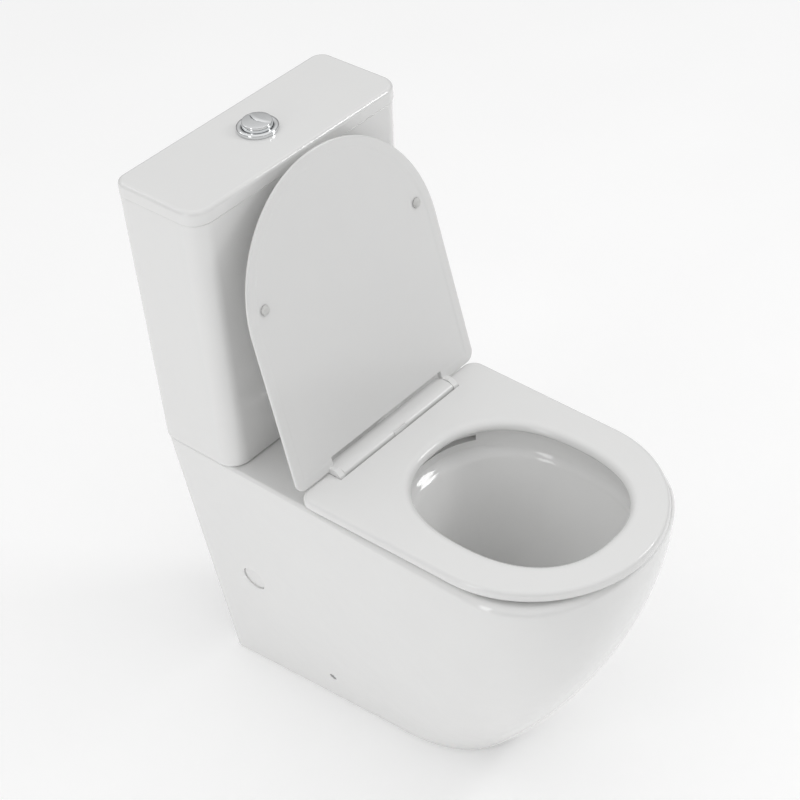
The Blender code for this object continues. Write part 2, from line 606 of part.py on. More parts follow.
# lever: pivots in the fork and reaches across the head to the float rod
ARM = ((-0.0225, 0.6975), (-0.0175, 0.6975), (-0.0165, 0.7134), (0.0185, 0.7134), (0.0185, 0.6968), (0.0250, 0.6968),
       (0.0250, 0.7165), (-0.0195, 0.7165), (-0.0225, 0.7030))
ARM_AT = (FILL_X - 0.0200, FA[1], 0.7000)
arm = plate("fill_valve_arm", ARM, -0.0022, 0.0022, "plastic", "XZ", FA)
rod("fill_valve_pin", ARM_AT, 0.0011, -0.0052, 0.0052, "steel", axis=(0, 1, 0), seg=16)
for ob, tag in ((arm, "arm"), (fill, "fork")):
    cut(ob, rod("cut_pin_" + tag, ARM_AT, 0.0015, -0.010, 0.010, axis=(0, 1, 0), seg=16))

# ------------------------------------------------------------------ seat
SEAT_T = 0.0151
SEAT_Z0 = SEAT_TOP - SEAT_T
REAR_D = AXIS_D - 0.0130


def seat_outline(e, z):
    return dshape(0.1703, 0.1667, REAR_D, 0.4754, DEPTH, 1.98, z, rc=0.018, e=e, ncorner=4, nside=4, nfront=12)


def seat_hole(e, z):
    return oval(0.4527, 0.1365 + e, 0.1134 + e, 2.33, z, 40)


seat = loft("seat_ring", [seat_outline(0.0045, SEAT_Z0), seat_outline(0.0014, SEAT_Z0 + 0.0014),
                          seat_outline(0.0, SEAT_Z0 + 0.0050)]
            + [seat_outline(i, SEAT_TOP - d) for i, d in edge(0.0055, 3)], "seat")
cut(seat, loft("cut_seat_hole", [seat_hole(0.0050, SEAT_Z0 - 0.0030), seat_hole(0.0010, SEAT_Z0 + 0.0020),
                                 seat_hole(0.0, SEAT_Z0 + 0.0045), seat_hole(0.0006, SEAT_TOP - 0.0050),
                                 seat_hole(0.0026, SEAT_TOP - 0.0018), seat_hole(0.0056, SEAT_TOP - 0.0002),
                                 seat_hole(0.0120, SEAT_TOP + 0.0004)]))
cut(seat, box("cut_notch", -NOTCH_X, NOTCH_X, Y(AXIS_D + BAR_R + 0.0020), Y(REAR_D) + 0.01, SEAT_Z0 - 0.01, SEAT_TOP + 0.01))
AX = (0, Y(AXIS_D), AXIS_Z)
for s, side in ((-1, "left"), (1, "right")):
    cut(seat, rod("cut_seat_pin_" + side, AX, 0.0014, s * (NOTCH_X - 0.005), s * 0.1300, axis=(1, 0, 0), seg=12))

BUF = ((0.1400, 0.300), (0.1250, 0.540))
for s, side in ((-1, "left"), (1, "right")):
    for (bx, bd), where in zip(BUF, ("rear", "front")):
        turned("seat_buffer_%s_%s" % (where, side), (s * bx, Y(bd), 0),
               [(0, SHELF + 0.0004), (0.0060, SHELF + 0.0004), (0.0075, SHELF + 0.0020), (0.0075, SEAT_Z0 - GAP),
                (0, SEAT_Z0 - GAP)], "rubber", seg=14)

# ------------------------------------------------------------------ cover, drawn closed and swung open
COVER_T = 0.0085
COVER_Z0 = 0.4622
COVER_Z1 = COVER_Z0 + COVER_T
COVER_REAR = AXIS_D + 0.0065


def cover_outline(e, z):
    return dshape(0.1703, 0.1674, COVER_REAR, 0.4754, DEPTH + 0.0085, 1.99, z, rc=0.014, e=e, ncorner=4, nside=4,
                  nfront=12)


cover = loft("seat_cover", [cover_outline(0.0016, COVER_Z0), cover_outline(0.0, COVER_Z0 + 0.0014)]
             + [cover_outline(i, COVER_Z1 - d) for i, d in ((0.0, 0.0052), (0.0025, 0.0029), (0.0075, 0.0012),
                                                            (0.0180, 0.0))], "seat")
LOW, HIGH = COVER_Z0 + 0.0020 - AXIS_Z, COVER_Z1 - 0.0022 - AXIS_Z
for s, side in ((-1, "left"), (1, "right")):
    ear = [(0.0215, LOW), (0.0215, HIGH), (0.0110, HIGH - 0.0008)]
    for k in range(8):
        t = math.radians(112 + 176 * k / 7)
        ear.append((0.0104 * math.cos(t), 0.0104 * math.sin(t)))
    ear += [(0.0108, -0.0020), (0.0112, LOW)]
    join(cover, plate("add_knuckle_" + side, ear, s * KNUCKLE_X0, s * KNUCKLE_X1, None, "YZ", AX))
    cut(cover, rod("cut_knuckle_" + side, AX, 0.0028, s * 0.100, s * 0.120, axis=(1, 0, 0), seg=12))
cut(cover, box("cut_cover_notch", -(BAR_X + 0.0002), BAR_X + 0.0002, Y(AXIS_D + 0.0230), Y(AXIS_D - 0.03),
               AXIS_Z - 0.03, AXIS_Z + 0.05))
for s, side in ((-1, "left"), (1, "right")):
    turned("cover_buffer_" + side, (s * 0.1380, Y(0.5055), 0),
           [(0, SEAT_TOP + 0.0004), (0.0035, SEAT_TOP + 0.0004), (0.0062, SEAT_TOP + 0.0016),
            (0.0066, COVER_Z0 - GAP), (0, COVER_Z0 - GAP)], "rubber", seg=16)

# ------------------------------------------------------------------ hinge bar, dampers, pins and posts
BAR_BACK = 0.0212      # how far the bar reaches behind the hinge line
BAR_LIFT = 0.0071      # height of its crown over the seat
mid_u, half_u = (BAR_R - BAR_BACK) / 2, (BAR_R + BAR_BACK) / 2
prof = []
for k in range(17):
    t = math.radians(180 * k / 16)
    prof.append((mid_u + math.copysign(half_u * abs(math.cos(t)) ** (2 / 2.6), math.cos(t)),
                 SEAT_TOP - AXIS_Z + BAR_LIFT * math.sin(t) ** (2 / 2.6)))
prof += [(-BAR_BACK, 0.4412 - AXIS_Z), (BAR_R, 0.4412 - AXIS_Z)]
bar = plate("hinge_bar", prof, -BAR_X, BAR_X, "seat", "YZ", AX)
DAMP_R = 0.0070
for s, side in ((-1, "left"), (1, "right")):
    cut(bar, rod("cut_damper_" + side, AX, DAMP_R + 0.0005, s * 0.0570, s * (BAR_X + 0.01), axis=(1, 0, 0), seg=14))
    turned("damper_" + side, AX,
           [(0.0028, s * 0.0700), (0.0028, s * 0.1050), (DAMP_R, s * 0.1050), (DAMP_R, s * 0.0575), (0, s * 0.0575),
            (0, s * 0.0700)], "grey", axis=(1, 0, 0), seg=14)
    turned("hinge_pin_" + side, AX, [(0, s * 0.0703), (0.0025, s * 0.0703), (0.0025, s * 0.1153), (0.0012, s * 0.1153),
                                     (0.0012, s * 0.1290), (0, s * 0.1290)], "steel", axis=(1, 0, 0), seg=14)
    turned("hinge_post_" + side, (s * POST_X, Y(AXIS_D), 0),
           [(0, 0.4040), (0.0055, 0.4040), (0.0055, SHELF + GAP), (0.0135, SHELF + GAP), (0.0135, 0.4409),
            (0, 0.4409)], "steel", seg=14)
    turned("hinge_nut_" + side, (s * POST_X, Y(AXIS_D), 0),
           [(0.0058, 0.4110), (0.0115, 0.4110), (0.0145, 0.4215), (0.0145, SHELF - SHELF_T - GAP),
            (0.0058, SHELF - SHELF_T - GAP)], "plastic", seg=14)

# quick release: a pad in the front of the bar
PAD_X, PAD_Z0, PAD_Z1 = 0.0110, AXIS_Z + 0.0010, AXIS_Z + 0.0066
cut(bar, box("cut_release", -PAD_X - 0.0004, PAD_X + 0.0004, Y(AXIS_D + 0.020), Y(AXIS_D + 0.0015), PAD_Z0 - 0.0004,
             PAD_Z1 + 0.0004))
lip = ((0.0035, PAD_Z0 - AXIS_Z), (0.0098, PAD_Z0 - AXIS_Z), (0.0096, 0.0042), (0.0084, PAD_Z1 - AXIS_Z),
       (0.0035, PAD_Z1 - AXIS_Z))
plate("release_button", lip, -PAD_X, PAD_X, "seat", "YZ", AX)

# ------------------------------------------------------------------ what moves with what
LIFT = pivot("lid_lift", (0, Y(LID_D / 2), LID_Z0))
FULL = pivot("full_flush_press", (-0.010, Y(VALVE_D), TOP), LIFT)
HALF = pivot("half_flush_press", (0.0160, Y(VALVE_D), TOP), LIFT)
hang(LIFT, ("cistern_lid", "flush_bezel", "button_sleeve_nut", "add_rib", "cut_lid", "cut_lid_hole"))
hang(FULL, ("full_flush_button", "full_flush_rod"))
hang(HALF, ("half_flush_button", "half_flush_rod"))
hang(pivot("piston_slide", (0, Y(VALVE_D), 0.4590)), ("flush_valve_piston", "flush_valve_seal"))
hang(pivot("float_slide", (FILL_X, Y(VALVE_D), 0.545)), ("fill_valve_float", "add_float_rod"))
hang(pivot("arm_pivot", ARM_AT), ("fill_valve_arm", "cut_pin_arm"))
hang(pivot("release_slide", (0, Y(AXIS_D + 0.0090), PAD_Z0)), ("release_button",))
sides = ("left", "right")
hang(pivot("seat_pivot", AX), ["seat_ring", "cut_seat_hole", "cut_notch"] + ["cut_seat_pin_" + s for s in sides]
     + ["seat_buffer_%s_%s" % (w, s) for w in ("rear", "front") for s in sides])
COVER = pivot("cover_pivot", AX)
hang(COVER, ["seat_cover", "cut_cover_notch"] + [n + s for n in ("add_knuckle_", "cut_knuckle_", "cover_buffer_")
                                                for s in sides])
COVER.rotation_euler = (-COVER_OPEN, 0, 0)
bpy.context.view_layer.update()
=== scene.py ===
"""Looks of the close coupled toilet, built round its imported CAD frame.

Metres, +Z up, front towards -Y, wall at y = DEPTH / 2.  Y(d) turns a distance out from the wall
into a y coordinate.
"""
import json
import math

import bmesh
import bpy
from mathutils import Matrix, Vector


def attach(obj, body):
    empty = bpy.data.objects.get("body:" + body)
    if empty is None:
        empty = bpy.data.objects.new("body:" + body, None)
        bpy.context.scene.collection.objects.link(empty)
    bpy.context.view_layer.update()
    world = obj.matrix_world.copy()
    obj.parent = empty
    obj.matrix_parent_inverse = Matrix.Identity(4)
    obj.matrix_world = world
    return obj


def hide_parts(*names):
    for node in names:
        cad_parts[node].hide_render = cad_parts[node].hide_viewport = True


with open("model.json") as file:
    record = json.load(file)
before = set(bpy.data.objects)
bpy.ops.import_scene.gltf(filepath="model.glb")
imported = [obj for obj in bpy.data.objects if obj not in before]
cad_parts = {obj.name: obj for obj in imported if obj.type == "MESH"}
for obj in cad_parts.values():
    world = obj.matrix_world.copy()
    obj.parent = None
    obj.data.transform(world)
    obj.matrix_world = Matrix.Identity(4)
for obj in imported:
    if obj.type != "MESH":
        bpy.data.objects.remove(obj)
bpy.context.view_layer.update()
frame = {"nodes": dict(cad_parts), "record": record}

# ------------------------------------------------------------------ dimensions shared with the CAD
DEPTH = 0.640
GAP = 0.0003
SHELF = 0.4375
SEAT_TOP, SEAT_T = 0.4577, 0.0151
SEAT_Z0 = SEAT_TOP - SEAT_T
TANK_Z0, TANK_Z1, TANK_FLOOR, TANK_WALL = 0.4380, 0.8158, 0.4500, 0.0090
LID_Z0, LID_Z1, LID_W, LID_D = 0.8162, 0.8358, 0.1825, 0.1381
VALVE_D, BOLT_X, FILL_X = 0.0650, 0.0800, -0.1150
BTN_R, BTN_RISE = 0.0192, 0.0120
AXIS_D, AXIS_Z = 0.2522, 0.4555
COVER_OPEN = math.radians(103.0)
COVER_Z0, COVER_T = 0.4622, 0.0085
COVER_Z1 = COVER_Z0 + COVER_T
BAR_R, BAR_X = 0.0092, 0.1060
BAR_BACK, BAR_LIFT = 0.0212, 0.0071
KNUCKLE_X0, KNUCKLE_X1, NOTCH_X = 0.1064, 0.1150, 0.1156
POST_X = 0.0775
OUTLET_Z = 0.1800
CAP_D, CAP_Z, CAP_R = 0.0980, 0.2080, 0.0185
FIX_D, FIX_Z = 0.2017, 0.0600
WALL = 0.0110
SIDES = ((-1, "left"), (1, "right"))


def Y(d):
    """Distance out from the wall to the y coordinate."""
    return DEPTH / 2 - d


AX = Vector((0, Y(AXIS_D), AXIS_Z))
VALVE_AT = (0, Y(VALVE_D), 0)
X_AXIS = (1, 0, 0)
# a cutting tool runs PAST the face it opens, and THROUGH reaches below the shelf from its top
PAST, THROUGH = 0.01, 0.03


def lerp(a, b, u):
    return a + (b - a) * u


def flare(u, power):
    return 1 - (1 - u) ** power


def soft(u):
    u = min(max(u, 0.0), 1.0)
    return u * u * (3 - 2 * u)


# ------------------------------------------------------------------ mesh helpers
def wrap(name, bm):
    bmesh.ops.recalc_face_normals(bm, faces=bm.faces)
    me = bpy.data.meshes.new(name)
    bm.to_mesh(me)
    bm.free()
    ob = bpy.data.objects.new(name, me)
    bpy.context.scene.collection.objects.link(ob)
    return ob


def skin(name, rings, closed=False):
    """Skin through rings of equal length; open ends are capped unless the rings close on themselves."""
    bm = bmesh.new()
    vs = [[bm.verts.new(p) for p in r] for r in rings]
    n = len(rings[0])
    for a, b in zip(vs, vs[1:] + (vs[:1] if closed else [])):
        for j in range(n):
            k = (j + 1) % n
            bm.faces.new((a[j], a[k], b[k], b[j]))
    if not closed:
        bm.faces.new(vs[0][::-1])
        bm.faces.new(vs[-1])
    return wrap(name, bm)


def spin(name, centre, profile, axis=(0, 0, 1), seg=64):
    """Solid of revolution from (radius, height) pairs, closed on itself when no radius is zero."""
    w = Vector(axis).normalized()
    u = Vector((1, 0, 0)) if abs(w.x) < 0.9 else Vector((0, 1, 0))
    u = (u - w * u.dot(w)).normalized()
    v = w.cross(u)
    c = Vector(centre)
    bm = bmesh.new()
    rows = []
    for r, h in profile:
        if r < 1e-7:
            rows.append([bm.verts.new(c + w * h)])
        else:
            rows.append([bm.verts.new(c + w * h + (u * math.cos(t) + v * math.sin(t)) * r)
                         for t in (2 * math.pi * k / seg for k in range(seg))])
    loop = rows + ([rows[0]] if len(rows[0]) > 1 or len(rows[-1]) > 1 else [])
    for a, b in zip(loop, loop[1:]):
        for j in range(seg):
            k = (j + 1) % seg
            face = [a[j % len(a)], a[k % len(a)], b[k % len(b)], b[j % len(b)]]
            face = [q for i, q in enumerate(face) if q not in face[:i]]
            if len(face) > 2:
                bm.faces.new(face)
    return wrap(name, bm)


def rod(name, centre, r, h0, h1, axis=(0, 0, 1), seg=48):
    return spin(name, centre, [(0, h0), (r, h0), (r, h1), (0, h1)], axis, seg)


def box(name, x0, x1, y0, y1, z0, z1):
    bm = bmesh.new()
    bmesh.ops.create_cube(bm, size=1)
    for v in bm.verts:
        v.co = (x1 if v.co.x > 0 else x0,
                max(y0, y1) if v.co.y > 0 else min(y0, y1),
                z1 if v.co.z > 0 else z0)
    return wrap(name, bm)


def pipe(name, path, r, seg=32):
    """Round tube solid along (distance from wall, height) points in the middle plane."""
    pts = [Vector((0, Y(d), z)) for d, z in path]
    rings = []
    for i, p in enumerate(pts):
        t = (pts[min(i + 1, len(pts) - 1)] - pts[max(i - 1, 0)]).normalized()
        n = Vector((1, 0, 0)).cross(t)
        rings.append([p + r * (Vector((1, 0, 0)) * math.cos(a) + n * math.sin(a))
                      for a in (2 * math.pi * k / seg for k in range(seg))])
    return skin(name, rings)


def prism(name, outline, t0, t1, plane="XY", at=(0, 0, 0), r=0.0, steps=4):
    """Outline in the XY or YZ plane, thick from t0 to t1 along the third axis, its rims rounded by r."""
    area = sum(p[0] * q[1] - q[0] * p[1] for p, q in zip(outline, outline[1:] + outline[:1]))
    pts = list(outline) if area > 0 else list(outline)[::-1]
    n = len(pts)

    def inset(e):
        out = []
        for i in range(n):
            a, b, c = Vector(pts[i - 1]), Vector(pts[i]), Vector(pts[(i + 1) % n])
            n0 = Vector((a.y - b.y, b.x - a.x)).normalized()
            n1 = Vector((b.y - c.y, c.x - b.x)).normalized()
            m = n0 + n1
            m = m / max(m.length_squared / 2, 0.35)
            out.append(b + m * e)
        return out

    def place(p, t):
        a = Vector(at)
        if plane == "XY":
            return a + Vector((p[0], p[1], t))
        return a + Vector((t, -p[0], p[1]))

    levels = [(0.0, t0), (0.0, t1)]
    if r:
        angles = [math.pi / 2 * k / steps for k in range(steps + 1)]
        arc = [(r * (1 - math.sin(a)), r * (1 - math.cos(a))) for a in angles]
        levels = [(e, t0 + h) for e, h in arc] + [(e, t1 - h) for e, h in arc[::-1]]
    return skin(name, [[place(p, t) for p in inset(e)] for e, t in levels])


def block(name, rings, radii, lower=0.0, upper=0.0, steps=(10, 5)):
    """Box whose two rings (half width, wall side, front side, z) may differ, with rounded edges."""
    bm = bmesh.new()
    bmesh.ops.create_cube(bm, size=2)
    for v in bm.verts:
        hw, d0, d1, z = rings[0] if v.co.z < 0 else rings[1]
        v.co = (math.copysign(hw, v.co.x), Y(d0) if v.co.y > 0 else Y(d1), z)
    z0, z1 = rings[0][3], rings[1][3]
    for k, front in ((0, True), (1, False)):
        mid = Y((rings[0][1] + rings[0][2]) / 2)
        edges = [e for e in bm.edges if abs(e.verts[0].co.z - e.verts[1].co.z) > (z1 - z0) / 2
                 and (e.verts[0].co.y < mid) == front]
        bmesh.ops.bevel(bm, geom=edges, offset=radii[k], offset_type="OFFSET", segments=steps[0], profile=0.5,
                        affect="EDGES")
    for z, r in ((z0, lower), (z1, upper)):
        if r:
            edges = [e for e in bm.edges if all(abs(v.co.z - z) < 1e-6 for v in e.verts)]
            bmesh.ops.bevel(bm, geom=edges, offset=r, offset_type="OFFSET", segments=steps[1], profile=0.5,
                            affect="EDGES")
    return wrap(name, bm)


def carve(ob, *steps):
    """Apply (+1 join, -1 cut) Booleans with each tool in turn and leave a plain mesh."""
    for sign, tool in steps:
        mod = ob.modifiers.new(tool.name, "BOOLEAN")
        mod.operation = "UNION" if sign > 0 else "DIFFERENCE"
        mod.solver = "EXACT"
        mod.object = tool
    dg = bpy.context.evaluated_depsgraph_get()
    me = bpy.data.meshes.new_from_object(ob.evaluated_get(dg))
    ob.modifiers.clear()
    old = ob.data
    ob.data = me
    bpy.data.meshes.remove(old)
    for _, tool in steps:
        data = tool.data
        bpy.data.objects.remove(tool)
        bpy.data.meshes.remove(data)
    return ob


def plus(*tools):
    return [(1, t) for t in tools]


def minus(*tools):
    return [(-1, t) for t in tools]


def edge(r, steps):
    """(inset, drop) pairs of a rounded upper edge, outermost first."""
    return [(r * (1 - math.cos(math.pi / 2 * k / steps)), r * (1 - math.sin(math.pi / 2 * k / steps)))
            for k in range(steps + 1)]


def dshape(wr, wm, d0, dm, dtip, n, z, rc, e=0.0, ncorner=8, nside=24, nfront=64, nback=0):
    """Ring with a straight back, gently widening sides and a superelliptic front."""
    wr, wm, dtip = wr - e, wm - e, dtip - e
    d0 = d0 + e
    rc = max(rc - e, 0.001)
    half = [((wr - rc) * k / nback, d0) for k in range(nback)] + [(wr - rc, d0)]
    for k in range(1, ncorner + 1):
        t = math.radians(-90 + 90 * k / ncorner)
        half.append((wr - rc + rc * math.cos(t), d0 + rc + rc * math.sin(t)))
    for k in range(1, nside + 1):
        half.append((lerp(wr, wm, k / nside), lerp(d0 + rc, dm, k / nside)))
    for k in range(1, nfront + 1):
        t = math.radians(90 * k / nfront)
        x = wm * math.cos(t) ** (2 / n) if k < nfront else 0.0
        half.append((x, dm + (dtip - dm) * math.sin(t) ** (2 / n)))
    ring = half + [(-x, d) for x, d in half[-2:0 if nback else None:-1]]
    return [(x, Y(d), z) for x, d in ring]


def oval(dc, a, b, n, z, seg=128):
    """Superelliptic ring about (0, dc), half length a along Y and half width b."""
    out = []
    for k in range(seg):
        t = 2 * math.pi * (k + 0.5) / seg
        c, s = math.cos(t), math.sin(t)
        x = math.copysign(b * abs(c) ** (2 / n), c)
        out.append((x, Y(dc) + math.copysign(a * abs(s) ** (2 / n), s), z))
    return out


def smooth_path(knots, steps):
    """Catmull-Rom curve through the knots."""
    out = []
    for i in range(len(knots) - 1):
        p0, p1 = knots[max(i - 1, 0)], knots[i]
        p2, p3 = knots[i + 1], knots[min(i + 2, len(knots) - 1)]
        for s in range(steps):
            t = s / steps
            out.append(tuple(0.5 * (2 * b + (c - a) * t + (2 * a - 5 * b + 4 * c - d) * t * t
                                    + (3 * b - a - 3 * c + d) * t ** 3)
                             for a, b, c, d in zip(p0, p1, p2, p3)))
    return out + [knots[-1]]


# ------------------------------------------------------------------ materials
IOR = 1.5
NOISE_LOW, NOISE_HIGH = 0.3, 0.7


def material(name, base, rough, tint, metal=0.0, coat=0.0, coat_rough=0.03, mottle=14.0, smudge=9.0,
             bumps=((38.0, 0.00022), (420.0, 0.00002))):
    """Principled material whose colour, gloss and surface waver with noise.

    rough is (low, high), mottle and smudge are the noise scales of colour and gloss, and each of
    bumps is a noise scale and its height.
    """
    mat = bpy.data.materials.new(name)
    mat.use_nodes = True
    nt = mat.node_tree
    sh = nt.nodes["Principled BSDF"]
    sh.inputs["Metallic"].default_value = metal
    sh.inputs["Coat Weight"].default_value = coat
    sh.inputs["Coat Roughness"].default_value = coat_rough
    sh.inputs["IOR"].default_value = IOR
    at = nt.nodes.new("ShaderNodeTexCoord").outputs["Object"]

    def noise(scale, detail=3.0):
        n = nt.nodes.new("ShaderNodeTexNoise")
        n.inputs["Scale"].default_value = scale
        n.inputs["Detail"].default_value = detail
        nt.links.new(at, n.inputs["Vector"])
        return n.outputs["Fac"]

    mix = nt.nodes.new("ShaderNodeMix")
    mix.data_type = "RGBA"
    dark = [max(c - tint, 0.0) for c in base]
    light = [min(c + tint, 1.0) for c in base]
    # blue rises less than red and green, so the light patches are a little warmer
    light[2] = min(base[2] + tint * 0.7, 1.0)
    # a colour mix has its two colours at inputs 6 and 7 and its result at output 2
    mix.inputs[6].default_value = (*dark, 1)
    mix.inputs[7].default_value = (*light, 1)
    nt.links.new(noise(mottle), mix.inputs[0])
    nt.links.new(mix.outputs[2], sh.inputs["Base Color"])
    gloss = nt.nodes.new("ShaderNodeMapRange")
    gloss.inputs["From Min"].default_value = NOISE_LOW
    gloss.inputs["From Max"].default_value = NOISE_HIGH
    gloss.inputs["To Min"].default_value = rough[0]
    gloss.inputs["To Max"].default_value = rough[1]
    nt.links.new(noise(smudge, 5.0), gloss.inputs["Value"])
    nt.links.new(gloss.outputs["Result"], sh.inputs["Roughness"])
    last = None
    for scale, dist in bumps:
        b = nt.nodes.new("ShaderNodeBump")
        b.inputs["Distance"].default_value = dist
        b.inputs["Strength"].default_value = 1.0
        nt.links.new(noise(scale, 2.0), b.inputs["Height"])
        if last:
            nt.links.new(last, b.inputs["Normal"])
        last = b.outputs["Normal"]
    nt.links.new(last, sh.inputs["Normal"])
    return mat


LOOKS = {
    "glaze": material("glaze_white", (0.83, 0.83, 0.825), (0.06, 0.10), coat=0.5, coat_rough=0.03,
                      tint=0.010),
    "seat_white": material("seat_white", (0.82, 0.82, 0.815), (0.17, 0.24), coat=0.25, coat_rough=0.08,
                           tint=0.008, mottle=22.0, bumps=((90.0, 0.00006), (900.0, 0.000008))),
    "chrome": material("chrome_polished", (0.78, 0.79, 0.80), (0.05, 0.11), metal=1.0, tint=0.02, mottle=60.0,
                       smudge=70.0, bumps=((260.0, 0.00001),)),
    "steel": material("steel_bright", (0.56, 0.57, 0.58), (0.22, 0.36), metal=1.0, tint=0.04, mottle=120.0,
                      smudge=160.0, bumps=((700.0, 0.00003),)),
    "brass": material("brass_plain", (0.66, 0.50, 0.22), (0.22, 0.38), metal=1.0, tint=0.05, mottle=90.0,
                      smudge=120.0, bumps=((500.0, 0.00003),)),
    "fittings_plastic": material("fittings_white", (0.70, 0.71, 0.71), (0.38, 0.52), tint=0.025, mottle=40.0,
                                 smudge=60.0, bumps=((600.0, 0.00003),)),
    "grey_plastic": material("fittings_grey", (0.26, 0.27, 0.28), (0.40, 0.55), tint=0.02, mottle=40.0,
                             smudge=60.0, bumps=((600.0, 0.00003),)),
    "rubber": material("rubber_black", (0.035, 0.035, 0.036), (0.60, 0.78), tint=0.008, mottle=80.0,
                       smudge=90.0, bumps=((800.0, 0.00005),)),
    "buffer": material("buffer_clear_white", (0.66, 0.66, 0.65), (0.30, 0.42), tint=0.02, mottle=90.0,
                       smudge=110.0, bumps=((700.0, 0.00003),)),
}
NODE_SLOT = {p["node"]: p["material_slot"] for p in frame["record"]["subparts"]}
for node, ob in frame["nodes"].items():
    if not ob.material_slots:
        ob.data.materials.append(None)
    ob.material_slots[0].link = "OBJECT"
    ob.material_slots[0].material = LOOKS[NODE_SLOT[node]]


def piece(ob, look, body, *nodes, angle=34.0):
    """Finish a mesh and hand it to the frame in place of its CAD nodes."""
    ob.data.materials.clear()
    ob.data.materials.append(LOOKS[look])
    for poly in ob.data.polygons:
        poly.material_index = 0
    ob.data.shade_smooth()
    ob.data.set_sharp_from_angle(angle=math.radians(angle))
    mod = ob.modifiers.new("weighted", "WEIGHTED_NORMAL")
    mod.keep_sharp = True
    mod.weight = 60
    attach(ob, body)
    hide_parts(*nodes)
    return ob


# ------------------------------------------------------------------ pan
FOOT_TIP, RIM_TIP = 0.4303, 0.6328
FOOT_MID, RIM_MID = 0.0873, 0.1683
FOOT_DM, RIM_DM = 0.292, 0.504
FOOT_REAR, RIM_REAR = 0.1060, 0.1675
# the rim's radius at the cistern and at the front, where it starts to grow and over what length
RIM_R_REAR, RIM_R_FRONT, RIM_GROW_D, RIM_GROW = 0.0060, 0.0120, 0.240, 0.200
RIM_STEPS = 9
FOOT_EDGE, FLANK_TOP, FLANK_STEPS = 0.0016, 0.400, 26
SHELF_T = 0.0120
LEDGE_Z, SUMP_Z = 0.398, 0.140
# outlines of the bowl: middle out from the wall, half length, half width
MOUTH_D, MOUTH_A, MOUTH_B = 0.4545, 0.1560, 0.1255
LEDGE_D, LEDGE_A, LEDGE_B = 0.4590, 0.1440, 0.1165
SUMP_BACK, SUMP_A, SUMP_B = 0.0930, 0.0440, 0.0410
BOWL_N = 2.25
BOWL_TOP, BOWL_STEPS = LEDGE_Z - 0.0025, 22


def pan_ring(z, e=0.0, zz=None, back=0.0, **kw):
    u = min(max(z / SHELF, 0.0), 1.0)
    return dshape(lerp(FOOT_REAR, RIM_REAR, u) - e, lerp(FOOT_MID, RIM_MID, flare(u, 1.92)) - e, back,
                  lerp(FOOT_DM, RIM_DM, flare(u, 1.56)), lerp(FOOT_TIP, RIM_TIP, flare(u, 1.76)) - e,
                  2.18, z if zz is None else zz, rc=0.014, **kw)


def rim_ring(k, steps):
    """Step k of the rounded rim, whose radius grows from the cistern to the front."""
    out = []
    for j, p in enumerate(pan_ring(SHELF)):
        grown = soft((Y(RIM_GROW_D) - p[1]) / RIM_GROW)
        inset, drop = edge(lerp(RIM_R_REAR, RIM_R_FRONT, grown), steps)[k]
        out.append(pan_ring(SHELF - drop, e=inset)[j])
    return out


def bowl(z, e=0.0, seg=128, zz=None):
    """Inside of the bowl, narrowing and moving back as it goes down to the sump."""
    v = min(max((LEDGE_Z - z) / (LEDGE_Z - SUMP_Z), 0.0), 1.0)
    return oval(LEDGE_D - SUMP_BACK * v ** 1.5, lerp(LEDGE_A, SUMP_A, v) + e,
                lerp(LEDGE_B, SUMP_B, v ** 0.93) + e, BOWL_N, z if zz is None else zz, seg)


def mouth(z, e=0.0, mix=1.0, seg=128):
    """Mouth of the bowl over its washing ledge; mix 0 is the ledge's own outline."""
    return oval(lerp(LEDGE_D, MOUTH_D, mix), lerp(LEDGE_A, MOUTH_A, mix) + e,
                lerp(LEDGE_B, MOUTH_B, mix) + e, BOWL_N, z, seg)


def arc_band(e, half_angle=58, n=48):
    """Rear stretch of the mouth's outline, grown by e and closed by a chord across the bowl."""
    out = []
    for k in range(n + 1):
        t = math.radians(lerp(90 - half_angle, 90 + half_angle, k / n))
        c, s = math.cos(t), math.sin(t)
        x = math.copysign((MOUTH_B + e) * abs(c) ** (2 / BOWL_N), c)
        out.append((x, Y(MOUTH_D) + (MOUTH_A + e) * s ** (2 / BOWL_N)))
    return out


outer = [pan_ring(0.0, e=FOOT_EDGE), pan_ring(0.0004, e=0.0007), pan_ring(FOOT_EDGE)]
outer += [pan_ring(FOOT_EDGE + (FLANK_TOP - FOOT_EDGE) * k / FLANK_STEPS) for k in range(1, FLANK_STEPS + 1)]
outer += [rim_ring(k, RIM_STEPS) for k in range(RIM_STEPS + 1)]
pan = skin("pan_body", outer)
few = dict(ncorner=1, nside=3, nfront=6)
cavity = [pan_ring(0.0, WALL, -PAST, back=WALL, **few)]
cavity += [pan_ring(z, WALL, back=WALL, **few) for z in (0.06, 0.12, 0.18, 0.25, 0.32, 0.375)]
cavity += [pan_ring(SHELF, WALL + 0.003, SHELF - SHELF_T, back=WALL, **few)]
bowl_out = [mouth(SHELF - 0.006, 0.0110, seg=48), mouth(0.412, 0.0110, seg=48)]
bowl_out += [bowl(z, 0.0100, 48) for z in (0.360, 0.310, 0.260, 0.215, 0.175, 0.140)]
bowl_out.append(bowl(SUMP_Z, -0.020, 48, 0.106))
TRAP = smooth_path([(0.366, 0.168), (0.335, 0.131), (0.290, 0.113), (0.247, 0.131), (0.218, 0.176),
                    (0.188, 0.222), (0.150, 0.237), (0.113, 0.222), (0.086, 0.192), (0.060, OUTLET_Z)], 3)
DUCT = smooth_path([(VALVE_D, 0.416), (VALVE_D, 0.397), (0.084, 0.380), (0.125, 0.374), (0.190, 0.378),
                    (0.282, 0.393)], 3)
TRAP_R, TRAP_OUT_R = 0.0400, 0.0500
DUCT_R, DUCT_OUT_R = 0.0262, 0.0345
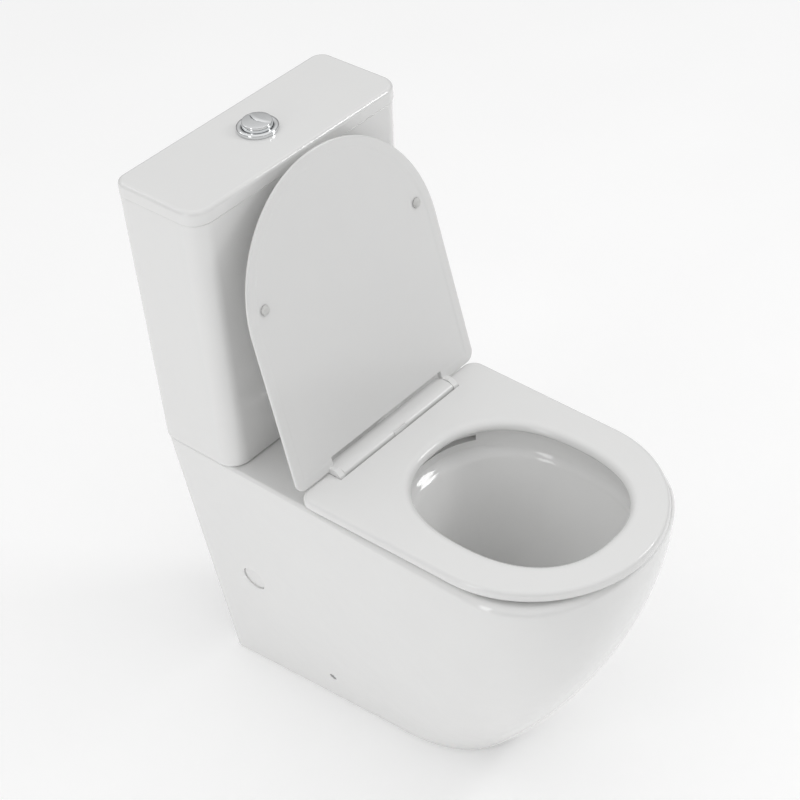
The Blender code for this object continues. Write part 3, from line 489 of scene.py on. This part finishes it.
bowl_in = [mouth(SHELF + PAST, 0.0080), mouth(SHELF, 0.0034), mouth(SHELF - 0.0012, 0.0013),
           mouth(SHELF - 0.0040, 0.0), mouth(0.4200, -0.0006), mouth(0.4120, -0.0012),
           mouth(0.4080, -0.0018, 0.85), mouth(0.4046, -0.0024, 0.55), mouth(0.4014, -0.0016, 0.25),
           mouth(0.3990, -0.0004, 0.06)]
bowl_in += [bowl(BOWL_TOP - (BOWL_TOP - SUMP_Z) * k / BOWL_STEPS) for k in range(BOWL_STEPS + 1)]
bowl_in += [bowl(SUMP_Z, -0.004, 128, 0.128), bowl(SUMP_Z, -0.016, 128, 0.118)]
SLOPE = math.atan((RIM_REAR - FOOT_REAR) / SHELF)
CAP_X = lerp(FOOT_REAR, RIM_REAR, CAP_Z / SHELF) + 0.0009
PLENUM_TOP = SHELF - 0.004
BACK_X, BACK_Z = 0.080, 0.292
SUPPLY_R, BOLT_HOLE_R, HINGE_HOLE_R = 0.0190, 0.0055, 0.0062
FIX_X0, FIX_SEAT_X, FIX_X1, FIX_R, FIX_HEAD_R = 0.088, 0.1040, 0.125, 0.0036, 0.0055


def flank(s):
    """Outward normal of the flank on side s."""
    return (s * math.cos(SLOPE), 0, -math.sin(SLOPE))


steps = minus(skin("t_cavity", cavity)) + plus(
    skin("t_bowl", bowl_out),
    pipe("t_trap", TRAP + [(0.020, OUTLET_Z)], TRAP_OUT_R),
    pipe("t_duct", DUCT, DUCT_OUT_R),
    prism("t_band", arc_band(0.022), 0.408, PLENUM_TOP),
    box("t_plenum", -0.042, 0.042, Y(0.300), Y(0.256), 0.388, PLENUM_TOP),
    spin("t_inlet", VALVE_AT,
         [(0, 0.402), (0.046, 0.402), (0.0575, 0.4165), (0.0575, PLENUM_TOP), (0, PLENUM_TOP)]))
steps += minus(
    skin("c_bowl", bowl_in),
    pipe("c_trap", TRAP + [(-0.030, OUTLET_Z)], TRAP_R),
    pipe("c_duct", [(VALVE_D, 0.432)] + DUCT[1:], DUCT_R),
    box("c_plenum", -0.030, 0.030, Y(0.2890), Y(0.2680), 0.392, SHELF - 0.0070),
    prism("c_slot", arc_band(0.0115, 40), SHELF - 0.0150, SHELF - 0.0070),
    rod("c_inlet", VALVE_AT, 0.0485, 0.4222, SHELF + PAST),
    box("c_back", -BACK_X, BACK_X, Y(0.0145), Y(-PAST), -PAST, BACK_Z),
    rod("c_supply", (FILL_X, Y(VALVE_D), 0), SUPPLY_R, SHELF - THROUGH, SHELF + PAST))
for s, side in SIDES:
    steps += minus(
        rod("c_bolt_" + side, (s * BOLT_X, Y(VALVE_D), 0), BOLT_HOLE_R, SHELF - THROUGH, SHELF + PAST,
            seg=32),
        rod("c_hinge_" + side, (s * POST_X, Y(AXIS_D), 0), HINGE_HOLE_R, SHELF - THROUGH, SHELF + PAST,
            seg=32),
        rod("c_cap_" + side, (s * CAP_X, Y(CAP_D), CAP_Z), CAP_R + GAP, -0.025, PAST, axis=flank(s), seg=64),
        spin("c_fix_" + side, (0, Y(FIX_D), FIX_Z),
             [(0, s * FIX_X0), (FIX_R, s * FIX_X0), (FIX_R, s * FIX_SEAT_X), (FIX_HEAD_R, s * FIX_SEAT_X),
              (FIX_HEAD_R, s * FIX_X1), (0, s * FIX_X1)], axis=X_AXIS, seg=40))
carve(pan, *steps)
piece(pan, "glaze", "toilet", "pan", angle=30.0)

CAP_END, CAP_INNER, CAP_WALL = -0.0105, -0.0042, 0.0022
for s, side in SIDES:
    cap = spin("side_cap_body_" + side, (s * CAP_X, Y(CAP_D), CAP_Z),
               [(0, -0.0006), (0.006, -0.0007), (0.012, -0.0009), (CAP_R - 0.0012, -0.0013),
                (CAP_R - 0.0004, -0.0016), (CAP_R, -0.0023), (CAP_R, CAP_END), (CAP_R - CAP_WALL, CAP_END),
                (CAP_R - CAP_WALL, CAP_INNER), (0, CAP_INNER)], axis=flank(s), seg=96)
    piece(cap, "seat_white", "toilet", "side_cap_" + side)


# ------------------------------------------------------------------ cistern and lid
TANK_LOW_W, TANK_TOP_W, TANK_LOW_D, TANK_TOP_D = 0.1704, 0.1808, 0.1309, 0.1368


def tank_ring(z, e=0.0, zz=None):
    u = min(max((z - TANK_Z0) / (TANK_Z1 - TANK_Z0), 0.0), 1.0)
    return (lerp(TANK_LOW_W, TANK_TOP_W, u) - e, e, lerp(TANK_LOW_D, TANK_TOP_D, u) - e,
            z if zz is None else zz)


tank = block("cistern_body", (tank_ring(TANK_Z0), tank_ring(TANK_Z1)), (0.027, 0.016), 0.004, 0.0015, (14, 4))
steps = minus(
    block("c_tank", (tank_ring(TANK_FLOOR, TANK_WALL), tank_ring(TANK_Z1, TANK_WALL, TANK_Z1 + PAST)),
          (0.018, 0.008), 0.008, 0, (10, 5)),
    rod("c_valve", VALVE_AT, 0.0300, TANK_Z0 - PAST, TANK_FLOOR + PAST),
    rod("c_fill", (FILL_X, Y(VALVE_D), 0), 0.0080, TANK_Z0 - PAST, TANK_FLOOR + PAST))
for s, side in SIDES:
    steps += minus(rod("c_tbolt_" + side, (s * BOLT_X, Y(VALVE_D), 0), 0.0050, TANK_Z0 - PAST,
                       TANK_FLOOR + PAST))
carve(tank, *steps)
piece(tank, "glaze", "toilet", "cistern_tank")


def lid_ring(e, z):
    return (LID_W - e, e, LID_D - e, z)


RIB, RIB_WALL = 0.0126, 0.005
LID_HOLE_R = 0.0219
lid = block("lid_body", (lid_ring(0, LID_Z0), lid_ring(0, LID_Z1)), (0.028, 0.018), 0.0015, 0.0060, (14, 8))
rib_out = (lid_ring(RIB, LID_Z0 - 0.009), lid_ring(RIB, LID_Z1 - 0.012))
rib_in = (lid_ring(RIB + RIB_WALL, LID_Z0 - 0.02), lid_ring(RIB + RIB_WALL, LID_Z1 - 0.0095))
carve(lid, *plus(block("t_rib", rib_out, (0.016, 0.007))),
      *minus(block("c_lid", rib_in, (0.011, 0.003)),
             rod("c_lid_hole", VALVE_AT, LID_HOLE_R, LID_Z0 - 0.02, LID_Z1 + PAST, seg=96)))
piece(lid, "glaze", "cistern_lid", "cistern_lid")

# ------------------------------------------------------------------ dual flush button
TOP = LID_Z1
SLEEVE_R, SLEEVE_Z0, BEZEL_R = 0.0215, TOP - 0.046, 0.0262
bezel = spin("bezel_ring", VALVE_AT,
             [(BTN_R + GAP, SLEEVE_Z0), (SLEEVE_R, SLEEVE_Z0), (SLEEVE_R, TOP + GAP),
              (0.0259, TOP + GAP), (BEZEL_R, TOP + 0.0006), (BEZEL_R, TOP + 0.0040), (0.0260, TOP + 0.0046),
              (0.0255, TOP + 0.0051),
              (0.0246, TOP + 0.0056), (0.0234, TOP + 0.0058), (0.0222, TOP + 0.0058), (0.0208, TOP + 0.0054),
              (BTN_R + 0.0007, TOP + 0.0049), (BTN_R + GAP, TOP + 0.0044)], seg=128)
piece(bezel, "chrome", "cistern_lid", "flush_bezel", angle=40.0)
# the curved split between the halves: middle and radius of its circle, half its width
SPLIT_C, SPLIT_R, SPLIT_GAP = 0.0275, 0.0285, 0.00025
SPLIT_STEPS, BTN_STEPS = 32, 64
BTN_DEPTH, BTN_EDGE, BTN_DOME = 0.012, 0.0011, 0.0006


def half_button(name, big):
    """Half of the round button: rim circle and curved split, softly rounded and slightly domed."""
    rs = SPLIT_R + (SPLIT_GAP if big else -SPLIT_GAP)
    a = math.acos((SPLIT_C ** 2 + rs ** 2 - BTN_R ** 2) / (2 * SPLIT_C * rs))
    arc = []
    for k in range(SPLIT_STEPS + 1):
        t = lerp(-a, a, k / SPLIT_STEPS)
        arc.append((SPLIT_C - rs * math.cos(t), rs * math.sin(t)))
    a0 = math.atan2(arc[-1][1], arc[-1][0])
    span = (a0, 2 * math.pi - a0) if big else (a0, -a0)
    turns = [lerp(*span, k / BTN_STEPS) for k in range(1, BTN_STEPS)]
    rim = [(BTN_R * math.cos(t), BTN_R * math.sin(t)) for t in turns]
    ob = prism(name, arc + rim, TOP - BTN_DEPTH, TOP + BTN_RISE, "XY", VALVE_AT, BTN_EDGE, 5)
    bm = bmesh.new()
    bm.from_mesh(ob.data)
    top = max(bm.faces, key=lambda f: f.calc_center_median().z if len(f.verts) > 8 else -1)
    ring = [v.co.copy() for v in top.verts]
    mid = sum(ring, Vector()) / len(ring)
    centre = Vector(VALVE_AT)
    rows = [list(top.verts)]
    bmesh.ops.delete(bm, geom=[top], context="FACES_ONLY")
    for u in (0.85, 0.65, 0.45, 0.25):
        rows.append([bm.verts.new(mid + (p - mid) * u) for p in ring])
    for r in rows[1:]:
        for v in r:
            q = min(math.hypot(v.co.x - centre.x, v.co.y - centre.y) / BTN_R, 1.0)
            v.co.z += BTN_DOME * (1 - q * q)
    for p, q in zip(rows, rows[1:]):
        for j in range(len(p)):
            k = (j + 1) % len(p)
            bm.faces.new((p[j], p[k], q[k], q[j]))
    bm.faces.new(rows[-1])
    bmesh.ops.recalc_face_normals(bm, faces=bm.faces)
    bm.to_mesh(ob.data)
    bm.free()
    return ob


piece(half_button("full_button", True), "chrome", "full_flush", "full_flush_button", angle=40.0)
piece(half_button("half_button", False), "chrome", "half_flush", "half_flush_button", angle=40.0)

# ------------------------------------------------------------------ seat
REAR_D = AXIS_D - 0.0130
# the seat and the cover share their rear half width and where the front curve starts
SEAT_REAR_W, SEAT_MID_W, SEAT_MID_D = 0.1703, 0.1667, 0.4754
SEAT_EDGE = 0.0060
HOLE_D, HOLE_A, HOLE_B, HOLE_N = 0.4527, 0.1365, 0.1134, 2.33
HOLE_LOW, HOLE_TOP = 0.0055, 0.0110
BORE_IN, BORE_OUT, BORE_R = 0.005, 0.1300, 0.0014


def seat_outline(e, z):
    return dshape(SEAT_REAR_W, SEAT_MID_W, REAR_D, SEAT_MID_D, DEPTH, 1.98, z, rc=0.018, e=e, nback=26)


def hole_point(p, e, z):
    """Point of the hole's outline, grown by e, on the ray from its middle through p."""
    x, y = p[0], p[1] - Y(HOLE_D)
    a, b = HOLE_A + e, HOLE_B + e
    k = (abs(x / b) ** HOLE_N + abs(y / a) ** HOLE_N) ** (-1 / HOLE_N)
    return (x * k, Y(HOLE_D) + y * k, z)


def between(r0, r1, u, z):
    return [(lerp(p[0], q[0], u), lerp(p[1], q[1], u), z) for p, q in zip(r0, r1)]


base = seat_outline(0.0, 0.0)
rim_low = [hole_point(p, HOLE_LOW, SEAT_Z0) for p in base]
rings = [seat_outline(e, SEAT_Z0 + rise) for e, rise in
         ((0.0050, 0.0), (0.0028, 0.0004), (0.0012, 0.0016), (0.0003, 0.0034), (0.0, 0.0056))]
rings += [seat_outline(i, SEAT_TOP - d) for i, d in edge(SEAT_EDGE, 8)]
top_out = seat_outline(SEAT_EDGE, SEAT_TOP)
top_in = [hole_point(p, HOLE_TOP, SEAT_TOP) for p in base]
rings += [between(top_out, top_in, u, SEAT_TOP) for u in (0.03, 0.5, 0.97)]
for e, drop in ((HOLE_TOP, 0.0), (0.0086, 0.00022), (0.0064, 0.0008), (0.0046, 0.0016), (0.0030, 0.0028),
                (0.0018, 0.0041), (0.0008, 0.0058), (0.0002, 0.0076), (0.0, 0.0092)):
    rings.append([hole_point(p, e, SEAT_TOP - drop) for p in base])
for e, rise in ((0.0004, 0.0046), (0.0014, 0.0024), (0.0030, 0.0009), (HOLE_LOW, 0.0)):
    rings.append([hole_point(p, e, SEAT_Z0 + rise) for p in base])
rings.append(between(rim_low, rings[0], 0.5, SEAT_Z0))
seat = skin("seat_body", rings, closed=True)
steps = minus(box("c_notch", -NOTCH_X, NOTCH_X, Y(AXIS_D + BAR_R + 0.0020), Y(REAR_D) + PAST,
                  SEAT_Z0 - PAST, SEAT_TOP + PAST))
for s, side in SIDES:
    steps += minus(rod("c_pin_" + side, AX, BORE_R, s * (NOTCH_X - BORE_IN), s * BORE_OUT, X_AXIS, 32))
carve(seat, *steps)
piece(seat, "seat_white", "seat", "seat_ring")


def buffer(name, x, d, profile):
    return spin(name, (x, Y(d), 0), profile, seg=64)


for s, side in SIDES:
    for (bx, bd), where in zip(((0.1400, 0.300), (0.1250, 0.540)), ("rear", "front")):
        b = buffer("seat_bumper_%s_%s" % (where, side), s * bx, bd,
                   [(0, SHELF + 0.0004), (0.0052, SHELF + 0.0004), (0.0064, SHELF + 0.0007),
                    (0.0072, SHELF + 0.0014), (0.0075, SHELF + 0.0023), (0.0075, SEAT_Z0 - GAP),
                    (0, SEAT_Z0 - GAP)])
        piece(b, "buffer", "seat", "seat_buffer_%s_%s" % (where, side))

# ------------------------------------------------------------------ cover, drawn closed and swung open
COVER_REAR, COVER_TIP, COVER_MID_W = AXIS_D + 0.0065, DEPTH + 0.0085, 0.1674


def cover_outline(e, z):
    return dshape(SEAT_REAR_W, COVER_MID_W, COVER_REAR, SEAT_MID_D, COVER_TIP, 1.99, z, rc=0.014, e=e)


def swing(ob):
    """Turn a piece drawn with the cover closed to the open position."""
    turn = Matrix.Translation(AX) @ Matrix.Rotation(-COVER_OPEN, 4, "X") @ Matrix.Translation(-AX)
    ob.data.transform(turn)
    return ob


rings = [cover_outline(e, COVER_Z0 + h) for e, h in
         ((0.040, 0.0007), (0.0165, 0.0007), (0.0148, 0.00062), (0.0136, 0.0003), (0.0124, 0.00005),
          (0.0110, 0.0), (0.0030, 0.0), (0.0016, 0.0001), (0.0006, 0.0006), (0.0, 0.0014))]
rings += [cover_outline(e, COVER_Z1 - d) for e, d in
          ((0.0, 0.0054), (0.0005, 0.0042), (0.0016, 0.0031), (0.0034, 0.0022), (0.0060, 0.0015),
           (0.0100, 0.0009), (0.0150, 0.0005), (0.0220, 0.0002), (0.0300, 0.0))]
cover = skin("cover_body", rings)
# the knuckles: heights from the axis, reach over the cover, radius, and the turn of their round end
LOW, HIGH = COVER_Z0 + 0.0020 - AXIS_Z, COVER_Z1 - 0.0022 - AXIS_Z
EAR_REACH, EAR_R, EAR_FROM, EAR_TURN, EAR_STEPS = 0.0215, 0.0104, 112, 176, 32
EAR_HOLE_R = 0.0028
steps = []
for s, side in SIDES:
    ear = [(EAR_REACH, LOW), (EAR_REACH, HIGH), (0.0110, HIGH - 0.0008)]
    for k in range(EAR_STEPS + 1):
        t = math.radians(EAR_FROM + EAR_TURN * k / EAR_STEPS)
        ear.append((EAR_R * math.cos(t), EAR_R * math.sin(t)))
    ear += [(0.0108, -0.0020), (0.0112, LOW)]
    x0, x1 = sorted((s * KNUCKLE_X0, s * KNUCKLE_X1))
    steps += plus(prism("t_ear_" + side, ear, x0, x1, "YZ", AX))
    steps += minus(rod("c_ear_" + side, AX, EAR_HOLE_R, s * 0.100, s * 0.120, X_AXIS, 32))
steps += minus(box("c_cover", -(BAR_X + 0.0002), BAR_X + 0.0002, Y(AXIS_D + 0.0230), Y(AXIS_D - 0.03),
                   AXIS_Z - 0.03, AXIS_Z + 0.05))
carve(cover, *steps)
piece(swing(cover), "seat_white", "cover", "seat_cover")
for s, side in SIDES:
    b = buffer("cover_bumper_" + side, s * 0.1380, 0.5055,
               [(0, SEAT_TOP + 0.0004), (0.0024, SEAT_TOP + 0.0004), (0.0040, SEAT_TOP + 0.0008),
                (0.0053, SEAT_TOP + 0.0017), (0.0060, SEAT_TOP + 0.0029), (0.0063, SEAT_TOP + 0.0042),
                (0.0066, COVER_Z0 - GAP), (0, COVER_Z0 - GAP)])
    piece(swing(b), "buffer", "cover", "cover_buffer_" + side)

# ------------------------------------------------------------------ hinge bar and quick release
BAR_Z0, BAR_N, BAR_STEPS = 0.4412, 2.6, 48
DAMPER_R, DAMPER_X = 0.0075, 0.0570
mid_u, half_u = (BAR_R - BAR_BACK) / 2, (BAR_R + BAR_BACK) / 2
prof = []
for k in range(BAR_STEPS + 1):
    t = math.pi * k / BAR_STEPS
    prof.append((mid_u + math.copysign(half_u * abs(math.cos(t)) ** (2 / BAR_N), math.cos(t)),
                 SEAT_TOP - AXIS_Z + BAR_LIFT * math.sin(t) ** (2 / BAR_N)))
prof += [(-BAR_BACK, BAR_Z0 - AXIS_Z), (BAR_R, BAR_Z0 - AXIS_Z)]
bar = prism("bar_body", prof, -BAR_X, BAR_X, "YZ", AX, 0.0006, 3)
PAD_X, PAD_Z0, PAD_Z1, PAD_GAP = 0.0110, AXIS_Z + 0.0010, AXIS_Z + 0.0066, 0.0004
steps = minus(box("c_release", -PAD_X - PAD_GAP, PAD_X + PAD_GAP, Y(AXIS_D + 0.020), Y(AXIS_D + 0.0015),
                  PAD_Z0 - PAD_GAP, PAD_Z1 + PAD_GAP))
for s, side in SIDES:
    steps += minus(rod("c_damper_" + side, AX, DAMPER_R, s * DAMPER_X, s * (BAR_X + PAST), X_AXIS, 48))
carve(bar, *steps)
piece(bar, "seat_white", "toilet", "hinge_bar", angle=40.0)
lip = ((0.0035, PAD_Z0 - AXIS_Z), (0.0098, PAD_Z0 - AXIS_Z), (0.0096, 0.0042), (0.0084, PAD_Z1 - AXIS_Z),
       (0.0035, PAD_Z1 - AXIS_Z))
pad = prism("release_pad", lip, -PAD_X, PAD_X, "YZ", AX, 0.0005, 3)
piece(pad, "seat_white", "release", "release_button")

# ------------------------------------------------------------------ floor, light and camera
FLOOR_SIZE, FLOOR_Z, FLOOR_GLOW = 20, -0.0004, 0.15
WORLD_LOW, WORLD_HIGH = 0.02, 0.97
LIGHTS = (
    # name, place, aimed at, size, power
    ("key", (1.9, -1.5, 2.3), (0.0, 0.0, 0.45), (0.7, 0.7), 12.0),
    ("left", (-2.2, 0.2, 1.1), (0.0, 0.0, 0.40), (0.5, 1.6), 7.0),
    ("front", (-0.4, -2.6, 1.4), (0.0, 0.0, 0.35), (1.2, 0.25), 1.2),
    ("back", (-0.9, 2.2, 2.6), (0.0, 0.1, 0.60), (1.6, 0.3), 3.0),
)

bm = bmesh.new()
bmesh.ops.create_grid(bm, x_segments=1, y_segments=1, size=FLOOR_SIZE)
floor = wrap("floor", bm)
floor.location = (0, 0, FLOOR_Z)
mat = bpy.data.materials.new("floor_pale")
mat.use_nodes = True
nt = mat.node_tree
sh = nt.nodes["Principled BSDF"]
sh.inputs["Roughness"].default_value = 0.75
sh.inputs["Emission Color"].default_value = (1, 1, 1, 1)
sh.inputs["Emission Strength"].default_value = FLOOR_GLOW
grain = nt.nodes.new("ShaderNodeTexNoise")
grain.inputs["Scale"].default_value = 3.0
tone = nt.nodes.new("ShaderNodeMapRange")
tone.inputs["To Min"].default_value = 0.90
tone.inputs["To Max"].default_value = 0.93
nt.links.new(nt.nodes.new("ShaderNodeTexCoord").outputs["Object"], grain.inputs["Vector"])
nt.links.new(grain.outputs["Fac"], tone.inputs["Value"])
nt.links.new(tone.outputs["Result"], sh.inputs["Base Color"])
floor.data.materials.append(mat)

world = bpy.data.worlds.new("studio")
bpy.context.scene.world = world
world.use_nodes = True
nt = world.node_tree
bg = nt.nodes["Background"]
split = nt.nodes.new("ShaderNodeSeparateXYZ")
ramp = nt.nodes.new("ShaderNodeMapRange")
ramp.inputs["From Min"].default_value = 0.0
ramp.inputs["From Max"].default_value = 0.8
ramp.inputs["To Min"].default_value = WORLD_LOW
ramp.inputs["To Max"].default_value = WORLD_HIGH
nt.links.new(nt.nodes.new("ShaderNodeTexCoord").outputs["Generated"], split.inputs["Vector"])
nt.links.new(split.outputs["Z"], ramp.inputs["Value"])
nt.links.new(ramp.outputs["Result"], bg.inputs["Strength"])
bg.inputs["Color"].default_value = (1, 1, 1, 1)

for name, at, aim, size, power in LIGHTS:
    data = bpy.data.lights.new(name, "AREA")
    data.shape = "RECTANGLE"
    data.size, data.size_y = size
    data.energy = power
    lamp = bpy.data.objects.new(name, data)
    lamp.location = at
    lamp.rotation_euler = (Vector(aim) - Vector(at)).to_track_quat("-Z", "Y").to_euler()
    bpy.context.scene.collection.objects.link(lamp)

AZIMUTH, ELEVATION, ROLL = math.radians(-46.6054), math.radians(39.4865), math.radians(-4.5169)
DISTANCE, TARGET = 2.7386, Vector((0.0618, 0.1155, 0.4189))
SENSOR, LENS, SHIFT = 36.0, 93.97, (-0.00006, 0.01547)
back = Vector((math.sin(AZIMUTH) * math.cos(ELEVATION),
               -math.cos(AZIMUTH) * math.cos(ELEVATION),
               math.sin(ELEVATION)))
right = Vector((math.cos(AZIMUTH), math.sin(AZIMUTH), 0))
up = back.cross(right)
cam_x = right * math.cos(ROLL) + up * math.sin(ROLL)
cam_y = up * math.cos(ROLL) - right * math.sin(ROLL)
data = bpy.data.cameras.new("camera")
data.sensor_width = SENSOR
data.lens = LENS
data.shift_x, data.shift_y = SHIFT
camera = bpy.data.objects.new("camera", data)
turned = Matrix((cam_x, cam_y, back)).transposed().to_4x4()
camera.matrix_world = Matrix.Translation(TARGET + back * DISTANCE) @ turned
bpy.context.scene.collection.objects.link(camera)
bpy.context.scene.camera = camera
bpy.context.scene.view_settings.view_transform = "Standard"
